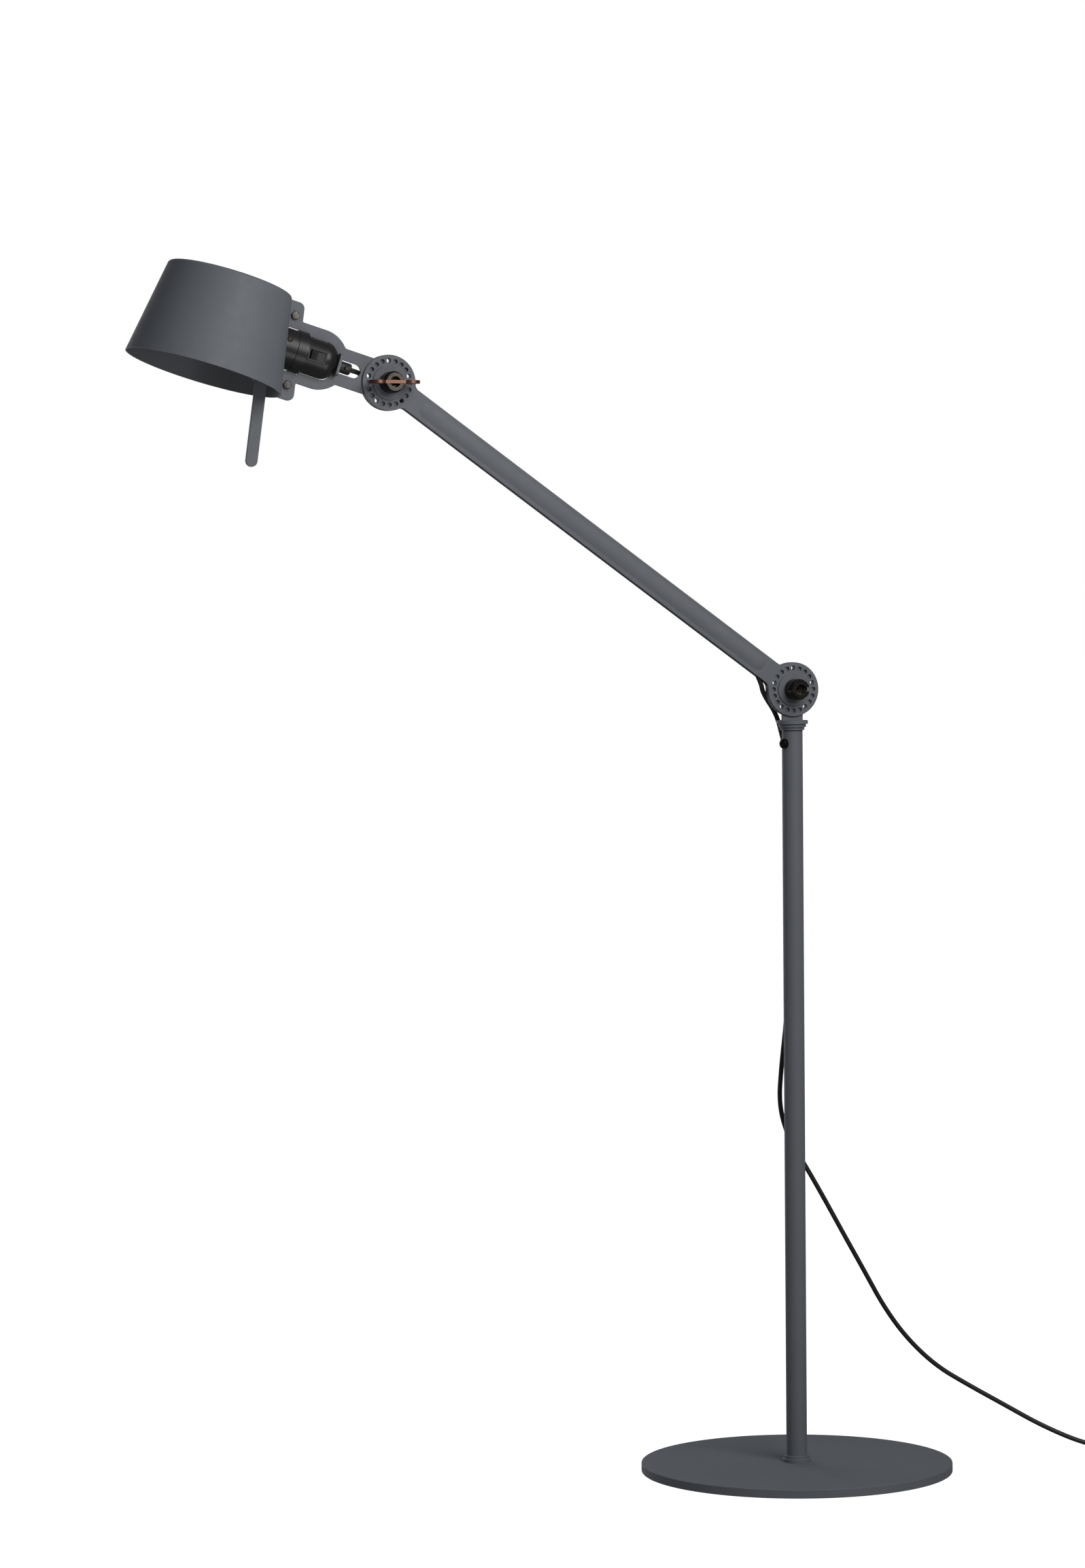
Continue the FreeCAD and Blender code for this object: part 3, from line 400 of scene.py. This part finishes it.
def bakelite():
    """Moulded phenolic: near black with brown flow marks, softly glossy and faintly uneven."""
    resin = Shader("bakelite", IOR=1.5, Specular_IOR_Level=0.36, Coat_Weight=0.08, Coat_Roughness=0.25)
    flow = resin.noise(55.0, 5.0, 0.6, stretch=(1.0, 1.6, 2.2), distortion=0.8)
    fleck = resin.remap(resin.noise(1900.0, 2.0), 0.55, 0.7)
    colour = resin.blend(resin.remap(flow, 0.35, 0.7), (0.0062, 0.0054, 0.0050), (0.0120, 0.0095, 0.0085))
    colour = resin.blend(resin.math("MULTIPLY", fleck, 0.25), colour, (0.022, 0.018, 0.015))
    resin.relief((resin.noise(110.0, 2.0), 0.00002), (resin.noise(2200.0, 1.0), 0.000002))
    return resin.finish(colour, resin.remap(flow, 0.3, 0.7, 0.34, 0.44))


def moulded_black(name, low, high, depth):
    """Moulded nylon with a fine spark-eroded grain and paler corners."""
    plastic = Shader(name, IOR=1.5, Specular_IOR_Level=0.35)
    grain = plastic.noise(1700.0, 2.0)
    haze = plastic.noise(70.0, 3.0)
    colour = plastic.blend(plastic.remap(haze, 0.3, 0.7), (0.0085, 0.0085, 0.0088), (0.0155, 0.0152, 0.015))
    corner = plastic.math("MULTIPLY", plastic.edges(0.4 * MM), 0.4)
    colour = plastic.blend(corner, colour, (0.045, 0.044, 0.043))
    plastic.relief((grain, depth))
    return plastic.finish(colour, plastic.remap(haze, 0.3, 0.7, low, high))


def cord_sheath():
    """Soft black sheath: faint lengthwise drag and a dusty bloom."""
    sheath = Shader("cord_sheath", IOR=1.47)
    dust = sheath.noise(300.0, 4.0)
    colour = sheath.blend(sheath.remap(dust, 0.4, 0.75), (0.0075, 0.0075, 0.0078), (0.017, 0.0165, 0.016))
    sheath.relief((sheath.noise(2400.0, 2.0), 0.00001), (sheath.noise(220.0, 1.0), 0.00003))
    return sheath.finish(colour, sheath.remap(dust, 0.3, 0.7, 0.42, 0.58))


def plain_metal(name, dark, light, low, high):
    """A turned or pressed metal with fine marks and uneven tone."""
    metal = Shader(name, Metallic=1.0)
    tone = metal.noise(240.0, 4.0)
    colour = metal.blend(metal.remap(tone, 0.3, 0.7), dark, light)
    metal.relief((metal.noise(140.0, 2.0, stretch=(24.0, 1.0, 1.0)), 0.00001))
    return metal.finish(colour, metal.remap(tone, 0.3, 0.7, low, high))


def plain_matt(name, dark, light, scale, depth, roughness, **fixed):
    """A matt material with one scale of grain."""
    matt = Shader(name, **fixed)
    tone = matt.noise(scale, 4.0)
    colour = matt.blend(matt.remap(tone, 0.3, 0.7), dark, light)
    matt.relief((matt.noise(scale * 6, 2.0), depth))
    return matt.finish(colour, matt.remap(tone, 0.3, 0.7, roughness - 0.06, roughness + 0.06))


def felt():
    """Pressed wool felt: matted fibres."""
    wool = Shader("felt", Roughness=0.95, Sheen_Weight=0.3)
    fibres = wool.noise(1300.0, 5.0, 0.75, distortion=2.0)
    colour = wool.blend(wool.remap(fibres, 0.3, 0.7), (0.010, 0.010, 0.011), (0.034, 0.033, 0.035))
    wool.relief((fibres, 0.0002))
    return wool.finish(colour)


def make_materials():
    return {
        "powder_grey": powder_coat(),
        "black_steel": blackened_steel(),
        "copper_key": copper(),
        "bright_steel": plated_steel(),
        "bakelite": bakelite(),
        "switch_black": moulded_black("switch_nylon", 0.38, 0.50, 0.00001),
        "holder_insert": plain_matt("steatite", (0.62, 0.59, 0.52), (0.76, 0.73, 0.66), 90.0, 0.00002, 0.4),
        "brass": plain_metal("brass", (0.42, 0.29, 0.11), (0.70, 0.53, 0.24), 0.22, 0.4),
        "nickel": plain_metal("nickel", (0.42, 0.41, 0.38), (0.66, 0.64, 0.6), 0.16, 0.3),
        "bulb_white": plain_matt("bulb_body", (0.74, 0.74, 0.72), (0.82, 0.82, 0.80), 30.0, 0.00002, 0.42),
        "bulb_opal": plain_matt("bulb_globe", (0.84, 0.84, 0.80), (0.90, 0.90, 0.87), 12.0, 0.00001, 0.22,
                                Subsurface_Weight=0.3, Subsurface_Scale=0.004),
        "fibre": plain_matt("fibre", (0.055, 0.036, 0.022), (0.13, 0.09, 0.06), 700.0, 0.00004, 0.8),
        "bush_plastic": moulded_black("acetal", 0.42, 0.55, 0.00002),
        "felt": felt(),
        "cord_black": cord_sheath(),
        "plug_black": moulded_black("plug_moulding", 0.34, 0.46, 0.00003),
    }


def dress(piece, material):
    piece.data.materials.clear()
    piece.data.materials.append(material)


def dress_all(materials, own_pieces):
    for subpart in frame["record"]["subparts"]:
        node = NODES[subpart["node"]]
        for part_slot in node.material_slots:
            part_slot.material = materials[subpart["material_slot"]]
    worn = blackened_steel("rubbed_steel", worn_face=0.12)
    for part_slot in NODES["head_clamp_nut"].material_slots:
        part_slot.material = worn
    for piece in own_pieces:
        dress(piece, materials[piece["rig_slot"]])


# ---- studio ----
FLOOR_HALF = 60.0
FLOOR_GLOW = 0.20                  # what the floor and the air give back to the object
WORLD_GLOW = 0.15


def softbox(name, at, aim, size, power, spread=180.0):
    """A rectangular light, unseen by the camera, whose beam spreads this many degrees."""
    light = bpy.data.lights.new(name, "AREA")
    light.shape = "RECTANGLE"
    light.size, light.size_y = size
    light.energy = power
    light.spread = math.radians(spread)
    lamp = bpy.data.objects.new(name, light)
    way = (Vector(aim) - Vector(at)).normalized()
    lamp.matrix_world = Matrix.Translation(at) @ way.to_track_quat("-Z", "Y").to_matrix().to_4x4()
    lamp.visible_camera = False
    bpy.context.scene.collection.objects.link(lamp)


def shown_white(tree, dim, bright):
    """A shader that the camera sees as bright, and that lights the object as dim."""
    mix = tree.nodes.new("ShaderNodeMixShader")
    tree.links.new(tree.nodes.new("ShaderNodeLightPath").outputs["Is Camera Ray"], mix.inputs["Fac"])
    tree.links.new(dim, mix.inputs[1])
    tree.links.new(bright, mix.inputs[2])
    return mix.outputs["Shader"]


def build_floor():
    mesh = bpy.data.meshes.new("floor")
    corners = [(x * FLOOR_HALF, y * FLOOR_HALF, 0) for x, y in ((-1, -1), (1, -1), (1, 1), (-1, 1))]
    mesh.from_pydata(corners, [], [(0, 1, 2, 3)])
    floor = bpy.data.objects.new("floor", mesh)
    bpy.context.scene.collection.objects.link(floor)
    paper = bpy.data.materials.new("pale_floor")
    paper.use_nodes = True
    tree = paper.node_tree
    tree.nodes.clear()
    dim = tree.nodes.new("ShaderNodeEmission")
    dim.inputs["Strength"].default_value = FLOOR_GLOW
    pale = tree.nodes.new("ShaderNodeBsdfDiffuse")
    pale.inputs["Color"].default_value = (0.3, 0.3, 0.3, 1)
    glow = tree.nodes.new("ShaderNodeEmission")
    glow.inputs["Strength"].default_value = 1.0
    bright = tree.nodes.new("ShaderNodeAddShader")
    tree.links.new(pale.outputs[0], bright.inputs[0])
    tree.links.new(glow.outputs[0], bright.inputs[1])
    out = tree.nodes.new("ShaderNodeOutputMaterial")
    tree.links.new(shown_white(tree, dim.outputs[0], bright.outputs[0]), out.inputs["Surface"])
    mesh.materials.append(paper)


def build_world():
    world = bpy.data.worlds.new("studio")
    bpy.context.scene.world = world
    world.use_nodes = True
    tree = world.node_tree
    tree.nodes.clear()
    dim = tree.nodes.new("ShaderNodeBackground")
    dim.inputs["Color"].default_value = (0.90, 0.97, 1.08, 1)
    dim.inputs["Strength"].default_value = WORLD_GLOW
    bright = tree.nodes.new("ShaderNodeBackground")
    bright.inputs["Color"].default_value = (1, 1, 1, 1)
    out = tree.nodes.new("ShaderNodeOutputWorld")
    tree.links.new(shown_white(tree, dim.outputs[0], bright.outputs[0]), out.inputs["Surface"])


def build_lights():
    middle = Vector((-0.2, 0, 0.75))
    right_of_camera = HEADING - math.radians(33)
    key_way = Vector((-math.sin(right_of_camera), -math.cos(right_of_camera), 0))
    softbox("key", middle + key_way * 2.2 + Vector((0, 0, 1.25)), middle, (1.6, 1.6), 45.5)
    softbox("top", middle + key_way * 1.0 + Vector((0, 0, 2.4)), middle, (1.6, 1.6), 5.0)
    softbox("low", (-0.32, -1.0, 0.2), (-0.60, 0, 1.02), (0.5, 0.5), 0.2, spread=38.0)
    softbox("back", middle - key_way * 3.2 + Vector((0, 0, 0.1)), middle, (2.2, 2.2), 32.0)


build_camera()
free_cord = build_free_cord()
held_cords = build_held_cords()
dress_all(make_materials(), [free_cord] + held_cords)
build_floor()
build_world()
build_lights()
bpy.context.scene.view_settings.view_transform = "Standard"
